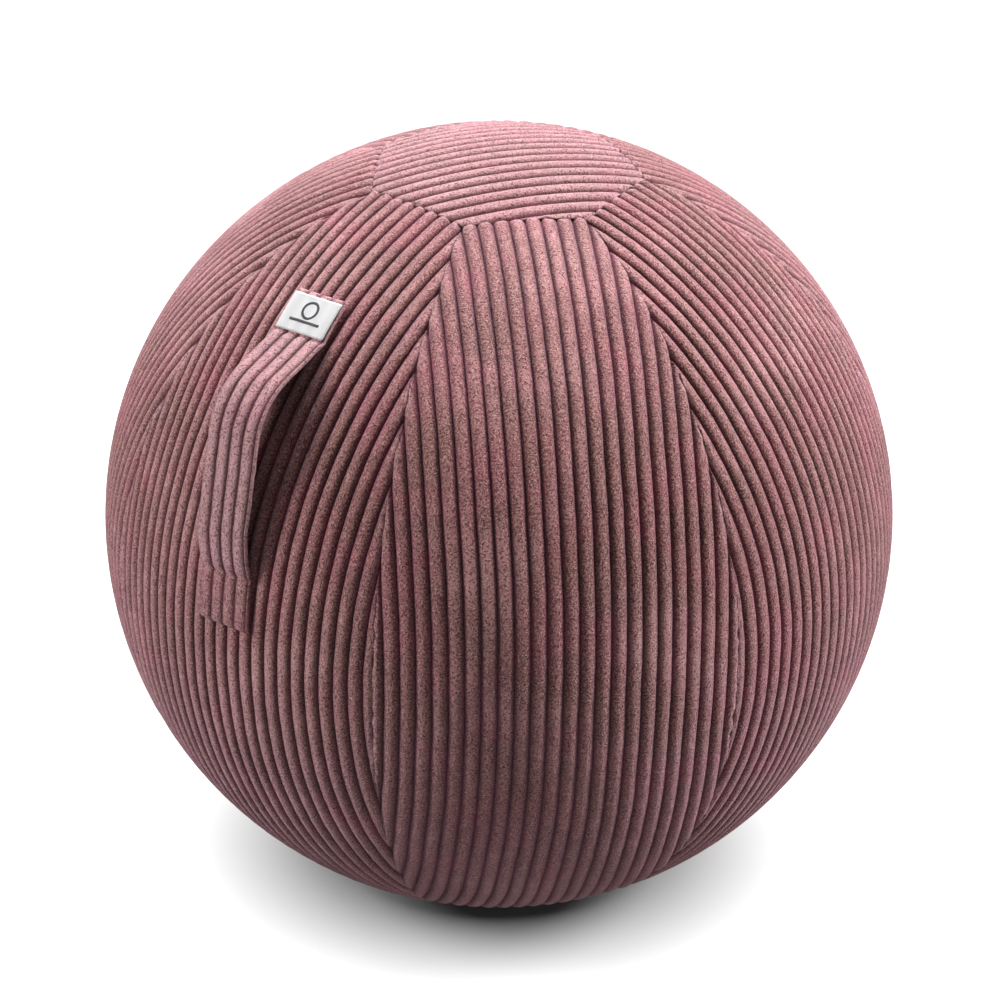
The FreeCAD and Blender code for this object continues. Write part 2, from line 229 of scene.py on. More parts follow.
def makePile():
    material, tree, shader = newMaterial("roseCorduroyPile")
    coords = tree.nodes.new("ShaderNodeTexCoord").outputs["Object"]
    ribHeight = addNode(tree, "ShaderNodeAttribute", attribute_name="ribHeight").outputs["Fac"]
    tufts = noiseAt(tree, pile["tuftScale"], 3.0, 0.65, coords)
    pits = noiseAt(tree, pile["pitScale"], 2.0, 0.5, coords)
    brushed = noiseAt(tree, pile["brushScale"], 4.0, 0.6, coords)
    pressed = noiseAt(tree, pile["brushScale"] * 2.7, 4.0, 0.6, coords)
    napAndPaintedSheen = addNode(tree, "ShaderNodeAttribute", attribute_name="napAndPaintedSheen").outputs["Fac"]
    tipMask = addRamp(tree, tufts, [(0.43, grey(0)), (0.64, grey(1))])
    pitMask = addRamp(tree, pits, [(0.37, grey(1)), (0.46, grey(0))])
    rubbedMask = addRamp(tree, brushed, [(0.48, grey(0)), (0.68, grey(1))])
    shadedMask = addRamp(tree, pressed, [(0.30, grey(1)), (0.52, grey(0))])
    # painted shade: the lower a point sits in its rib, the darker, as a groove's shadow
    grooveShadeMask = addRamp(tree, ribHeight, [(0.0, grey(1)), (0.45, grey(0.76)), (0.92, grey(0))])
    rosyMask = addRamp(tree, noiseAt(tree, pile["brushScale"] * 1.8, 3.0, 0.6, coords),
                       [(0.44, grey(0)), (0.64, grey(1))])
    shade = mixColour(tree, calculate(tree, "MULTIPLY", rosyMask, 0.70), pile["body"], pile["rosy"])
    shade = mixColour(tree, calculate(tree, "MULTIPLY", rubbedMask, 0.80), shade, pile["rubbed"])
    shade = mixColour(tree, calculate(tree, "MULTIPLY", shadedMask, 0.75), shade, pile["shaded"])
    # painted sheen: the pale nap colour, wherever the attribute is raised
    shade = mixColour(tree, napAndPaintedSheen, shade, pile["lifted"])
    # painted highlight along each rib's crest, which also stands for the paler worn nap there
    crestHighlightMask = addRamp(tree, ribHeight, [(0.84, grey(0)), (1.0, grey(1))])
    crestHighlightMask = calculate(tree, "MULTIPLY", crestHighlightMask, 0.24)
    shade = mixColour(tree, calculate(tree, "MAXIMUM", calculate(tree, "MULTIPLY", tipMask, 0.72), crestHighlightMask),
                      shade, pile["tip"])
    shade = mixColour(tree, calculate(tree, "MULTIPLY", pitMask, 0.74), shade, pile["pit"])
    # painted groove shade, its colour varied by the rosy patches
    grooveShade = mixColour(tree, rosyMask, pile["grooveShade"], pile["grooveShadeRosy"])
    shade = mixColour(tree, calculate(tree, "MULTIPLY", grooveShadeMask, 0.93), shade, grooveShade)
    tree.links.new(shade, shader.inputs["Base Color"])
    roughness = addRamp(tree, tufts, [(0.3, grey(0.98)), (0.7, grey(0.84))])
    tree.links.new(roughness, shader.inputs["Roughness"])
    height = calculate(tree, "SUBTRACT", tufts, calculate(tree, "MULTIPLY", pitMask, 0.5))
    tree.links.new(bumpFrom(tree, height, pile["tuftBump"], 1.0), shader.inputs["Normal"])
    shader.inputs["Sheen Weight"].default_value = pile["sheen"]
    shader.inputs["Sheen Roughness"].default_value = 0.5
    shader.inputs["Sheen Tint"].default_value = pile["sheenTint"]
    shader.inputs["Specular IOR Level"].default_value = 0.1
    return material


# woven cloth, shared by lining, label, tapes, base and ring

def makeWeaveGroup():
    group = bpy.data.node_groups.new("plainWeave", "ShaderNodeTree")
    for name, kind, value in (("Threads per metre", "NodeSocketFloat", 1500.0),
                              ("Thread colour", "NodeSocketColor", grey(0.5)),
                              ("Gap colour", "NodeSocketColor", grey(0.2)),
                              ("Fading", "NodeSocketFloat", 0.2)):
        socket = group.interface.new_socket(name, in_out="INPUT", socket_type=kind)
        socket.default_value = value
    for name, kind in (("Colour", "NodeSocketColor"), ("Height", "NodeSocketFloat")):
        group.interface.new_socket(name, in_out="OUTPUT", socket_type=kind)
    inward = group.nodes.new("NodeGroupInput")
    outward = group.nodes.new("NodeGroupOutput")
    coords = group.nodes.new("ShaderNodeTexCoord").outputs["UV"]
    waves = []
    for axis in (0, 1):
        split = group.nodes.new("ShaderNodeSeparateXYZ")
        group.links.new(coords, split.inputs[0])
        turns = calculate(group, "MULTIPLY", split.outputs[axis], inward.outputs["Threads per metre"])
        wave = calculate(group, "SINE", calculate(group, "MULTIPLY", turns, math.tau))
        waves.append(calculate(group, "MULTIPLY", wave, 0.5))
    woven = calculate(group, "ADD", calculate(group, "MULTIPLY", waves[0], waves[1]), 0.5)
    worn = noiseAt(group, 35, 3.0, 0.6)
    colour = mixColour(group, woven, inward.outputs["Gap colour"], inward.outputs["Thread colour"])
    faded = mixColour(group, calculate(group, "MULTIPLY", worn, inward.outputs["Fading"]), colour,
                      inward.outputs["Thread colour"])
    group.links.new(faded, outward.inputs["Colour"])
    group.links.new(woven, outward.inputs["Height"])
    return group


def makeWoven(name, group, threads, threadColour, gapColour, fading, roughness, bump, sheen=0.2):
    material, tree, shader = newMaterial(name)
    weave = tree.nodes.new("ShaderNodeGroup")
    weave.node_tree = group
    weave.inputs["Threads per metre"].default_value = threads
    weave.inputs["Thread colour"].default_value = threadColour
    weave.inputs["Gap colour"].default_value = gapColour
    weave.inputs["Fading"].default_value = fading
    tree.links.new(weave.outputs["Colour"], shader.inputs["Base Color"])
    tree.links.new(bumpFrom(tree, weave.outputs["Height"], bump), shader.inputs["Normal"])
    patches = addRamp(tree, noiseAt(tree, 45, 3.0), [(0.3, grey(roughness)), (0.7, grey(roughness - 0.15))])
    tree.links.new(patches, shader.inputs["Roughness"])
    shader.inputs["Sheen Weight"].default_value = sheen
    return material


# moulded and cast finishes

def makeGrainGroup():
    group = bpy.data.node_groups.new("handledSurface", "ShaderNodeTree")
    for name, kind, value in (("Grain scale", "NodeSocketFloat", 900.0),
                              ("Colour", "NodeSocketColor", grey(0.5)),
                              ("Rubbed colour", "NodeSocketColor", grey(0.6)),
                              ("Roughness", "NodeSocketFloat", 0.5)):
        socket = group.interface.new_socket(name, in_out="INPUT", socket_type=kind)
        socket.default_value = value
    for name, kind in (("Colour", "NodeSocketColor"), ("Roughness", "NodeSocketFloat"),
                       ("Height", "NodeSocketFloat")):
        group.interface.new_socket(name, in_out="OUTPUT", socket_type=kind)
    inward = group.nodes.new("NodeGroupInput")
    outward = group.nodes.new("NodeGroupOutput")
    coords = group.nodes.new("ShaderNodeTexCoord").outputs["Object"]
    grain = addNode(group, "ShaderNodeTexNoise", in_Detail=4.0, in_Roughness=0.6)
    group.links.new(coords, grain.inputs["Vector"])
    group.links.new(inward.outputs["Grain scale"], grain.inputs["Scale"])
    rubbed = addRamp(group, noiseAt(group, 38, 4.0, 0.6, coords), [(0.42, grey(0)), (0.7, grey(1))])
    group.links.new(mixColour(group, rubbed, inward.outputs["Colour"], inward.outputs["Rubbed colour"]),
                    outward.inputs["Colour"])
    spread = calculate(group, "MULTIPLY", calculate(group, "SUBTRACT", grain.outputs["Fac"], 0.5), 0.35)
    group.links.new(calculate(group, "ADD", inward.outputs["Roughness"], spread), outward.inputs["Roughness"])
    group.links.new(grain.outputs["Fac"], outward.inputs["Height"])
    return group


def makeSolid(name, group, grainScale, colour, rubbed, roughness, bump, metallic=0.0):
    material, tree, shader = newMaterial(name)
    surface = tree.nodes.new("ShaderNodeGroup")
    surface.node_tree = group
    surface.inputs["Grain scale"].default_value = grainScale
    surface.inputs["Colour"].default_value = colour
    surface.inputs["Rubbed colour"].default_value = rubbed
    surface.inputs["Roughness"].default_value = roughness
    tree.links.new(surface.outputs["Colour"], shader.inputs["Base Color"])
    tree.links.new(surface.outputs["Roughness"], shader.inputs["Roughness"])
    tree.links.new(bumpFrom(tree, surface.outputs["Height"], bump), shader.inputs["Normal"])
    shader.inputs["Metallic"].default_value = metallic
    return material


weaveGroup = makeWeaveGroup()
grainGroup = makeGrainGroup()
cordPile = makePile()
darkLining = makeWoven("darkStrapLining", weaveGroup, 1100, (0.030, 0.022, 0.022, 1),
                       (0.008, 0.006, 0.006, 1), 0.4, 0.85, 0.0002)
webCloth = makeWoven("strapWebbing", weaveGroup, 500, (0.05, 0.045, 0.045, 1), (0.015, 0.013, 0.013, 1),
                     0.3, 0.8, 0.0004)
labelCloth = makeWoven("whiteLabelSatin", weaveGroup, 1300, (0.70, 0.70, 0.70, 1), (0.44, 0.44, 0.45, 1),
                       0.6, 0.62, 0.00012, 0.1)
tapeCloth = makeWoven("zipTapeTwill", weaveGroup, 900, (0.20, 0.105, 0.11, 1), (0.10, 0.05, 0.052, 1),
                      0.4, 0.85, 0.0002)
baseCloth = makeWoven("coatedBaseCloth", weaveGroup, 800, (0.040, 0.040, 0.043, 1),
                      (0.018, 0.018, 0.019, 1), 0.5, 0.7, 0.0002, 0.05)
ringCloth = makeWoven("ringSleeveCloth", weaveGroup, 900, (0.03, 0.03, 0.032, 1), (0.012, 0.012, 0.013, 1),
                      0.4, 0.85, 0.0002)
markThread = makeSolid("darkLabelThread", grainGroup, 2500, (0.020, 0.022, 0.028, 1),
                       (0.045, 0.047, 0.055, 1), 0.75, 0.0001)
whiteThread = makeSolid("whiteLabelThread", grainGroup, 2500, (0.80, 0.80, 0.79, 1),
                        (0.70, 0.70, 0.69, 1), 0.7, 0.0001)
gripRubber = makeSolid("gripDots", grainGroup, 1500, (0.055, 0.055, 0.06, 1), (0.09, 0.09, 0.095, 1),
                       0.5, 0.0001)
zipPlastic = makeSolid("zipTeethNylon", grainGroup, 2200, (0.17, 0.088, 0.092, 1), (0.25, 0.14, 0.145, 1),
                       0.42, 0.00005)
zipMetal = makeSolid("zipSliderNickel", grainGroup, 1400, (0.55, 0.54, 0.52, 1), (0.68, 0.67, 0.65, 1),
                     0.34, 0.00004, 1.0)
bladderVinyl = makeSolid("bladderVinyl", grainGroup, 500, (0.20, 0.21, 0.23, 1), (0.26, 0.27, 0.29, 1),
                         0.42, 0.0001)
valveVinyl = makeSolid("valveVinyl", grainGroup, 1200, (0.74, 0.74, 0.71, 1), (0.62, 0.62, 0.59, 1),
                       0.4, 0.00005)
ringSand = makeSolid("ringSand", grainGroup, 700, (0.42, 0.33, 0.21, 1), (0.55, 0.46, 0.32, 1), 0.9, 0.0006)
print("materials made")


# corduroy panels
cord = {
    "pitch": math.radians(2.2),            # turn about the ball's centre from rib to rib
    "depth": 0.0041,
    "samples": (0.0, 0.045, 0.11, 0.20, 0.33, 0.5, 0.67, 0.80, 0.89, 0.955),   # places across a rib
    "rowTurn": math.radians(1.0),
    "shifts": ((7.0, 0.0016), (26.0, 0.0005), (120.0, 0.00030)),   # waves per metre, and their reach
    "stillRise": 0.060,                    # above the base seam, where the drifts begin
    "pull": (math.radians(44), math.radians(20), 0.130, 0.0095),   # azimuth, angle off the top, reach, size
    "seamDepth": 0.0010,
    "seamWidth": 0.0030,
    "seamShadeReach": 0.0022,                    # reach of the painted groove shade along a seam, in patches
    "seamFuzz": 0.0065,                    # reach of the raised nap along a seam
    "fuzz": 0.55,
    "creases": (0.0012, 0.0030),           # rows of edges beside each seam
    "pucker": 0.0012,
    "puckerScale": 150.0,
    "puckerReach": 0.012,
    "wall": 0.0012,
    "cutArea": 0.173,                      # of one gore, laid flat, in square metres
    "cutWidth": 0.292,
    "cutLength": 0.758,
}


def ribDrop(phase):
    away = abs(2 * phase - 1)
    return 0.62 * away ** 2 + 0.38 * away ** 6


def ribbedSheet(ribs, lowTurn, highTurn):
    # a run of ribs across the ball, spun about the axis that its ribs circle
    sheet = bmesh.new()
    ribHeight = sheet.verts.layers.float.new("ribHeight")
    rail = []
    for rib in range(ribs):
        for phase in cord["samples"]:
            turn = cord["pitch"] * (rib + phase - ribs / 2)
            drop = ribDrop(phase)
            radius = ballRadius - cord["depth"] * drop
            point = sheet.verts.new((radius * math.sin(turn), -radius * math.cos(turn), 0))
            point[ribHeight] = 1 - drop
            rail.append(point)
    edges = [sheet.edges.new(pair) for pair in zip(rail, rail[1:])]
    bmesh.ops.rotate(sheet, cent=origin, matrix=Matrix.Rotation(-lowTurn, 3, "X"), verts=rail)
    rows = round((highTurn - lowTurn) / cord["rowTurn"])
    bmesh.ops.spin(sheet, geom=rail + edges, cent=origin, axis=-rightward, angle=highTurn - lowTurn,
                   steps=rows)
    return sheet


def cutAlong(sheet, seams):
    # each seam is a plane as a point and a direction into the panel
    for place, inward in seams:
        bmesh.ops.bisect_plane(sheet, geom=sheet.verts[:] + sheet.edges[:] + sheet.faces[:], dist=1e-6,
                               plane_co=place, plane_no=-inward, clear_outer=True)
    for place, inward in seams:
        for crease in cord["creases"]:
            bmesh.ops.bisect_plane(sheet, geom=sheet.verts[:] + sheet.edges[:] + sheet.faces[:],
                                   dist=1e-5, plane_co=place + inward * crease, plane_no=inward)


def drawIn(sheet, seams, seed, lifted):
    # the cloth turns down into its seams and puckers beside them; its nap stands up there, the panel gets its
    # painted sheen level, and painted groove shade darkens the seam in patches
    ribHeight = sheet.verts.layers.float["ribHeight"]
    napAndPaintedSheen = sheet.verts.layers.float.new("napAndPaintedSheen")
    for point in sheet.verts:
        nearest = min((point.co - place).dot(inward) for place, inward in seams)
        ripple = noise.noise(point.co * cord["puckerScale"] + Vector((seed, seed, seed)))
        beside = 1 - smooth(nearest / cord["seamFuzz"])
        # painted sheen level over the whole panel, plus real raised nap beside the seams
        point[napAndPaintedSheen] = lifted + (1 - lifted) * cord["fuzz"] * beside * max(0.5 + ripple, 0)
        # painted shade along the seam: lowers the rib height that the groove shade reads
        point[ribHeight] *= 1 - max(ripple * 0.8, 0) * (1 - smooth(nearest / cord["seamShadeReach"]))
        dip = (1 - smooth(nearest / cord["seamWidth"])) * cord["seamDepth"] * (1 + 0.6 * ripple)
        dip += max(ripple, -0.2) * cord["pucker"] * (1 - smooth(nearest / cord["puckerReach"]))
        point.co -= point.co.normalized() * dip


def shiftCloth(mesh):
    # small drifts of the cloth along the ball, the same for every panel, so that seams stay closed
    azimuth, polar, reach, size = cord["pull"]
    pulled = Matrix.Rotation(azimuth, 3, "Z") @ meridianPoint(math.pi / 2 - polar, ballRadius)
    for point in mesh.verts:
        radius = point.co.length
        drift = (upward * ballRadius - pulled).normalized() * (
            size * (1 - smooth((point.co - pulled).length / reach)))
        rise = point.co.z + ballRadius * math.cos(gore["baseSeam"])
        for waves, reach in cord["shifts"]:
            drift += noise.noise_vector(point.co * waves) * reach * smooth(rise / cord["stillRise"])
        point.co = (point.co + drift).normalized() * radius


def bowRibs(sheet, bow):
    for point in sheet.verts:
        radius = point.co.length
        point.co.x -= bow * point.co.z ** 2
        point.co *= radius / point.co.length


def panel(name, node, ribs, lowTurn, highTurn, seams, seed, placeTurns, bow=0.0, lifted=0.0):
    sheet = ribbedSheet(ribs, lowTurn, highTurn)
    bowRibs(sheet, bow)
    cutAlong(sheet, seams)
    drawIn(sheet, seams, seed, lifted)
    pointNormalsOut(sheet)
    for angle, axis in placeTurns:
        turnAll(sheet, angle, axis)
    shiftCloth(sheet)
    bmesh.ops.translate(sheet, vec=centre, verts=sheet.verts)
    piece = addPiece(name, sheet, cordPile, replaces=[node])
    giveThickness(piece, cord["wall"])
    return piece


# side gores
gore = {
    "topCorner": math.radians(20.2),       # from the ball's top to the top panel's corners
    "baseSeam": math.radians(28.0),        # from the ball's bottom to the base panel's seam
    "zipGores": (2, 3, 4, 5),
    "zipSlot": 0.0060,                     # up along the cover, from the seam to the slot's edge
    "ribs": 24,
    "cutAbove": math.radians(76),
}


def sideSeam(side):
    half = goreStep / 2
    return origin, Vector((-side * math.cos(half), -math.sin(half), 0))


def topSeam(turn, side):
    # edge of the top panel that lies above the gore at this turn; side 1 is the gore's side
    slope = math.atan(math.tan(gore["topCorner"]) * math.cos(goreStep / 2))
    inward = Vector((0, -math.cos(slope), -math.sin(slope))) * side
    return origin, Matrix.Rotation(turn, 3, "Z") @ inward


def baseSeam(zipped):
    height = -ballRadius * math.cos(gore["baseSeam"])
    if zipped:
        height += gore["zipSlot"] * math.sin(gore["baseSeam"])
    return Vector((0, 0, height)), upward


def sideGore(number):
    seams = [sideSeam(1), sideSeam(-1), topSeam(0, 1), baseSeam(number in gore["zipGores"])]
    return panel(f"sideGore{number + 1}", f"side_gore_{number + 1}", gore["ribs"],
                 gore["baseSeam"] - math.pi / 2 - 0.02, gore["cutAbove"], seams, number,
                 [(number * goreStep, "Z")])


for number in range(goreCount):
    sewn = sideGore(number)
print("side gores sewn")


# top panel
topPanel = {
    "ribs": 24,
    "reach": math.radians(23),
    "bow": 1.0,                            # how far the ribs bow, per metre from the middle
    "ribDirection": math.radians(60.7),    # of the ribs, seen from above
    "lifted": 0.38,                        # how far the panel is painted toward the pale nap colour: brushed-up nap and painted sheen
}


def makeTopPanel():
    # made as a patch that faces the handle's side, then tipped up to the top
    tip = Matrix.Rotation(math.pi / 2, 3, "X")
    spread = Matrix.Rotation(math.pi / 2 - topPanel["ribDirection"], 3, "Z")
    seams = []
    for number in range(goreCount):
        place, inward = topSeam(number * goreStep, -1)
        seams.append((place, tip @ (spread @ inward)))
    return panel("topPanel", "top_panel", topPanel["ribs"], -topPanel["reach"], topPanel["reach"],
                 seams, 11, [(-math.pi / 2, "X"), (topPanel["ribDirection"] - math.pi / 2, "Z")],
                 topPanel["bow"], topPanel["lifted"])


makeTopPanel()
print("top panel sewn")


# base panel, the round bottom with the flat foot
base = {
    "foot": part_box("weight_ring_sleeve")[1][0] + 0.004,      # radius of the flat foot
    "footRise": 0.0006,                    # the cloth's height over the floor, between the dots
    "slotReach": 0.030,                    # of the cloth that is drawn back beside the zip
    "wall": 0.0026,
    "steps": 168,
    "dotRings": 7,
    "dotRadius": 0.0017,
    "dotSpacing": 0.0105,
}


def zipPoint(across, out):
    # beside the base seam on the handle's side: up along the cover, and out from it
    radius = ballRadius + out
    lean = gore["baseSeam"]
    return Vector((0, -radius * math.sin(lean) - across * math.cos(lean),
                   -radius * math.cos(lean) + across * math.sin(lean)))


def spunRing(mesh, rail, closed=False, steps=96):
    points = [mesh.verts.new(place) for place in rail]
    edges = [mesh.edges.new(pair) for pair in zip(points, points[1:])]
    if closed:
        edges.append(mesh.edges.new((points[-1], points[0])))
    bmesh.ops.spin(mesh, geom=points + edges, cent=origin, axis=upward, angle=math.tau, steps=steps,
                   use_merge=True)
    bmesh.ops.remove_doubles(mesh, verts=mesh.verts, dist=1e-6)
    pointNormalsOut(mesh)


def makeBasePanel():
    floorLevel = -centre.z + base["footRise"]
    rail = [Vector((0, -base["foot"] * share, floorLevel)) for share in (0, 0.25, 0.5, 0.75, 0.92)]
    rise = math.asin(base["foot"] / ballRadius)
    for step in range(15):
        turn = rise + (gore["baseSeam"] - rise) * (step + 0.35) / 14.35
        rail.append(Vector((0, -ballRadius * math.sin(turn), -ballRadius * math.cos(turn))))
    cloth = bmesh.new()
    spunRing(cloth, rail, steps=base["steps"])
    for point in cloth.verts:
        aside = math.hypot(point.co.x, point.co.y)
        seam = (gore["baseSeam"] - math.atan2(aside, -point.co.z)) * ballRadius
        azimuth = math.atan2(point.co.x, -point.co.y) % math.tau
        if zipper["start"] < azimuth < zipper["end"] and seam < base["slotReach"]:
            kept = gore["zipSlot"] + seam * (1 - gore["zipSlot"] / base["slotReach"])
            turn = gore["baseSeam"] - kept / ballRadius
            point.co = Matrix.Rotation(azimuth, 3, "Z") @ Vector(
                (0, -ballRadius * math.sin(turn), -ballRadius * math.cos(turn)))
        if aside > base["foot"] * 1.03:
            ripple = noise.noise(Vector((azimuth * 22, seam * 60, 2)))
            puckered = smooth(seam / 0.012) * (1 - smooth(seam / 0.045))
            point.co += point.co.normalized() * (ripple * 0.0010 * puckered - 0.0002)
    bmesh.ops.translate(cloth, vec=centre, verts=cloth.verts)
    giveUv(cloth, lambda point: (point.x, point.y))
    piece = addPiece("basePanel", cloth, baseCloth, replaces=["base_panel"])
    giveThickness(piece, base["wall"])

    dots = bmesh.new()
    for ring in range(base["dotRings"] + 1):
        count = max(1, 6 * ring)
        for number in range(count):
            turn = math.tau * number / count
            place = Matrix.Rotation(turn, 3, "Z") @ Vector((ring * base["dotSpacing"], 0, 0))
            dot = bmesh.ops.create_cone(dots, cap_ends=True, segments=10, radius1=base["dotRadius"] * 0.75,
                                        radius2=base["dotRadius"], depth=base["footRise"] + 0.0006)
            middle = (base["footRise"] + 0.0006) / 2
            bmesh.ops.translate(dots, vec=place + Vector((0, 0, middle)), verts=dot["verts"])
    pointNormalsOut(dots)
    addPiece("gripDots", dots, gripRubber, smoothShade=False)


# zip along the back of the base seam
zipper = {
    "start": 1.5 * goreStep,
    "end": 5.5 * goreStep,
    "overrun": math.radians(2.0),
    "split": 0.0006,                       # from the middle to each tape's edge
    "tapeWidth": 0.014,
    "tapeTop": -0.0026,                    # out from the cover
    "tapeThickness": 0.0009,
    "tapeStep": math.radians(1.2),
    "chainStart": math.radians(2.0),
    "chainEnd": math.radians(2.9),
    "toothPitch": 0.0022,
    "tooth": (0.0013, 0.0031, 0.0017),     # along, across and out
    "toothOverlap": 0.0001,
}


def makeTape(side, node):
    rail = [zipPoint(side * (zipper["split"] + share * (zipper["tapeWidth"] - zipper["split"])),
                     zipper["tapeTop"]) for share in (0, 0.2, 0.4, 0.6, 0.8, 1)]
    cloth = bmesh.new()
    points = [cloth.verts.new(place) for place in rail]
    edges = [cloth.edges.new(pair) for pair in zip(points, points[1:])]
    start = zipper["start"] - zipper["overrun"]
    sweep = zipper["end"] - zipper["start"] + 2 * zipper["overrun"]
    bmesh.ops.rotate(cloth, cent=origin, matrix=Matrix.Rotation(start, 3, "Z"), verts=points)
    bmesh.ops.spin(cloth, geom=points + edges, cent=origin, axis=upward, angle=sweep,
                   steps=round(sweep / zipper["tapeStep"]))
    pointNormalsOut(cloth)
    if cloth.faces[0].normal.dot(cloth.faces[0].calc_center_median()) < 0:
        bmesh.ops.reverse_faces(cloth, faces=cloth.faces)
    giveUv(cloth, lambda point: (math.atan2(point.y, point.x) * ballRadius * math.sin(gore["baseSeam"]),
                                 point.z / math.sin(gore["baseSeam"])))
    bmesh.ops.translate(cloth, vec=centre, verts=cloth.verts)
    piece = addPiece("zipTape" + ("Upper" if side > 0 else "Lower"), cloth, tapeCloth, replaces=[node])
    giveThickness(piece, zipper["tapeThickness"])


def makeTeeth(side, node):
    radius = ballRadius * math.sin(gore["baseSeam"])
    teeth = bmesh.new()
    sweep = zipper["end"] - zipper["start"] - zipper["chainStart"] - zipper["chainEnd"]
    count = round(sweep * radius / zipper["toothPitch"])
    along, across, out = zipper["tooth"]
    for number in range(count):
        tooth = bmesh.ops.create_cube(teeth, size=1)["verts"]
        bmesh.ops.scale(teeth, vec=(along, across, out), verts=tooth)
        crown = [point for point in tooth if point.co.z > 0]
        bmesh.ops.scale(teeth, vec=(0.72, 0.86, 1), verts=crown)
        edges = list({edge for point in crown for edge in point.link_edges})
        rounded = bmesh.ops.bevel(teeth, geom=edges, offset=0.00025, offset_type="OFFSET", segments=1,
                                  profile=0.5, affect="EDGES", material=-1)
        tooth = list({point for face in rounded["faces"] for point in face.verts}
                     | {point for point in tooth if point.is_valid})
        middle = zipPoint(side * (across / 2 - zipper["toothOverlap"]), zipper["tapeTop"] + out / 2)
        turn = zipper["start"] + zipper["chainStart"] + sweep * (number + 0.25 + side * 0.25) / count
        stand = Matrix.Rotation(turn, 3, "Z") @ Matrix.Rotation(math.pi / 2 + math.pi / 2 - gore["baseSeam"],
                                                                3, "X")
        bmesh.ops.rotate(teeth, cent=origin, matrix=stand, verts=tooth)
        bmesh.ops.translate(teeth, vec=Matrix.Rotation(turn, 3, "Z") @ middle, verts=tooth)
    bmesh.ops.translate(teeth, vec=centre, verts=teeth.verts)
    pointNormalsOut(teeth)
    addPiece("zipTeeth" + ("Upper" if side > 0 else "Lower"), teeth, zipPlastic, replaces=[node])


# sand-filled ring inside the base
ring = {
    "width": 0.036,
    "rounding": 0.0045,
    "ripples": 42,
    "ripple": 0.0004,
}


def makeRingSleeve():
    low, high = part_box("weight_ring_sleeve")
    outer = high[0]
    inner = outer - ring["width"]
    height = high[2] - low[2]
    rail = []
    for middle, rise, start in ((outer, height, 0), (inner, height, 90), (inner, 0, 180), (outer, 0, 270)):
        inset = ring["rounding"] if middle == inner else -ring["rounding"]
        lift = -ring["rounding"] if rise else ring["rounding"]
        for step in range(5):
            turn = math.radians(start + step * 22.5)
            rail.append(Vector((0, -(middle + inset + ring["rounding"] * math.cos(turn)),
                                rise + lift + ring["rounding"] * math.sin(turn))))
    sleeve = bmesh.new()
    spunRing(sleeve, rail, closed=True, steps=126)
    for point in sleeve.verts:
        turn = math.atan2(point.co.y, point.co.x)
        edge = abs(math.hypot(point.co.x, point.co.y) - (outer + inner) / 2) / (outer - inner) * 2
        point.co.z -= ring["ripple"] * (0.5 + 0.5 * math.cos(ring["ripples"] * turn)) * smooth(edge) * (
            point.co.z / height)
    bmesh.ops.translate(sleeve, vec=(0, 0, low[2]), verts=sleeve.verts)
    giveUv(sleeve, lambda point: (point.x, point.y))
    addPiece("ringSleeve", sleeve, ringCloth, replaces=["weight_ring_sleeve"])


makeBasePanel()
makeTape(1, "zip_tape_outer")
makeTape(-1, "zip_tape_inner")
makeTeeth(1, "zip_teeth_outer")
makeTeeth(-1, "zip_teeth_inner")
makeRingSleeve()
print("base, zip and ring made")


# strap and its label
strap = {
    "width": 0.050,
    "lean": math.radians(3.1),             # about the direction that the loop stands out in
    "shift": math.radians(1.1),
    "lowEnd": math.radians(5.2),           # heights up the ball, as latitudes
    "lowFold": math.radians(12.6),
    "highFold": math.radians(46.0),
    "highEnd": math.radians(52.7),
    "knee": (math.radians(17.0), 0.0110, 0.090),      # latitude, height of the inner face, rounding
    "crown": (math.radians(35.2), 0.0350, 0.058),
    "foldRounding": 0.009,
    "step": 0.0018,
    "ribPitch": 0.0122,
    "ribDepth": 0.0023,
    "lining": 0.0008,
    "webbing": 0.0012,
    "thickness": 0.0050,
    "coreHalf": 0.0217,                    # half width of webbing and lining
    "sewnPress": 0.10,                     # how far the sewn ends are squeezed, as a share
    "seamDent": 0.0013,
    "seamReach": 0.0040,
    "endRound": 0.0030,
    "uneven": 0.00045,
    "lifted": 0.56,                        # how far the loop is painted toward the pale nap colour: brushed-up nap and painted sheen
    "cut": 0.064,                          # width it was cut to, with the turned-in edges
}


def heading(start, end):
    return math.atan2(end.y - start.y, end.z - start.z)


def strapMoves():
    # the sewn end, the fold, and the loop's two bends, as turns and straight runs
    corners = [meridianPoint(strap["lowFold"], ballRadius)]
    for latitude, height, rounding in (strap["knee"], strap["crown"]):
        corners.append(meridianPoint(latitude, ballRadius + height))
    corners.append(meridianPoint(strap["highFold"], ballRadius))
    headings = [strap["lowFold"]]
    headings += [heading(start, end) for start, end in zip(corners, corners[1:])]
    headings.append(strap["highFold"])
    roundings = [strap["foldRounding"], strap["knee"][2], strap["crown"][2], strap["foldRounding"]]
    turns = [after - before for before, after in zip(headings, headings[1:])]
    trims = [rounding * math.tan(abs(turn) / 2) for rounding, turn in zip(roundings, turns)]
    moves = [("turn", strap["lowFold"] - strap["lowEnd"] - trims[0] / ballRadius, ballRadius)]
    for corner in range(4):
        moves.append(("turn", turns[corner], roundings[corner]))
        if corner < 3:
            length = (corners[corner + 1] - corners[corner]).length
            moves.append(("run", length - trims[corner] - trims[corner + 1], 0))
    moves.append(("turn", strap["highEnd"] - strap["highFold"] - trims[-1] / ballRadius, ballRadius))
    return moves


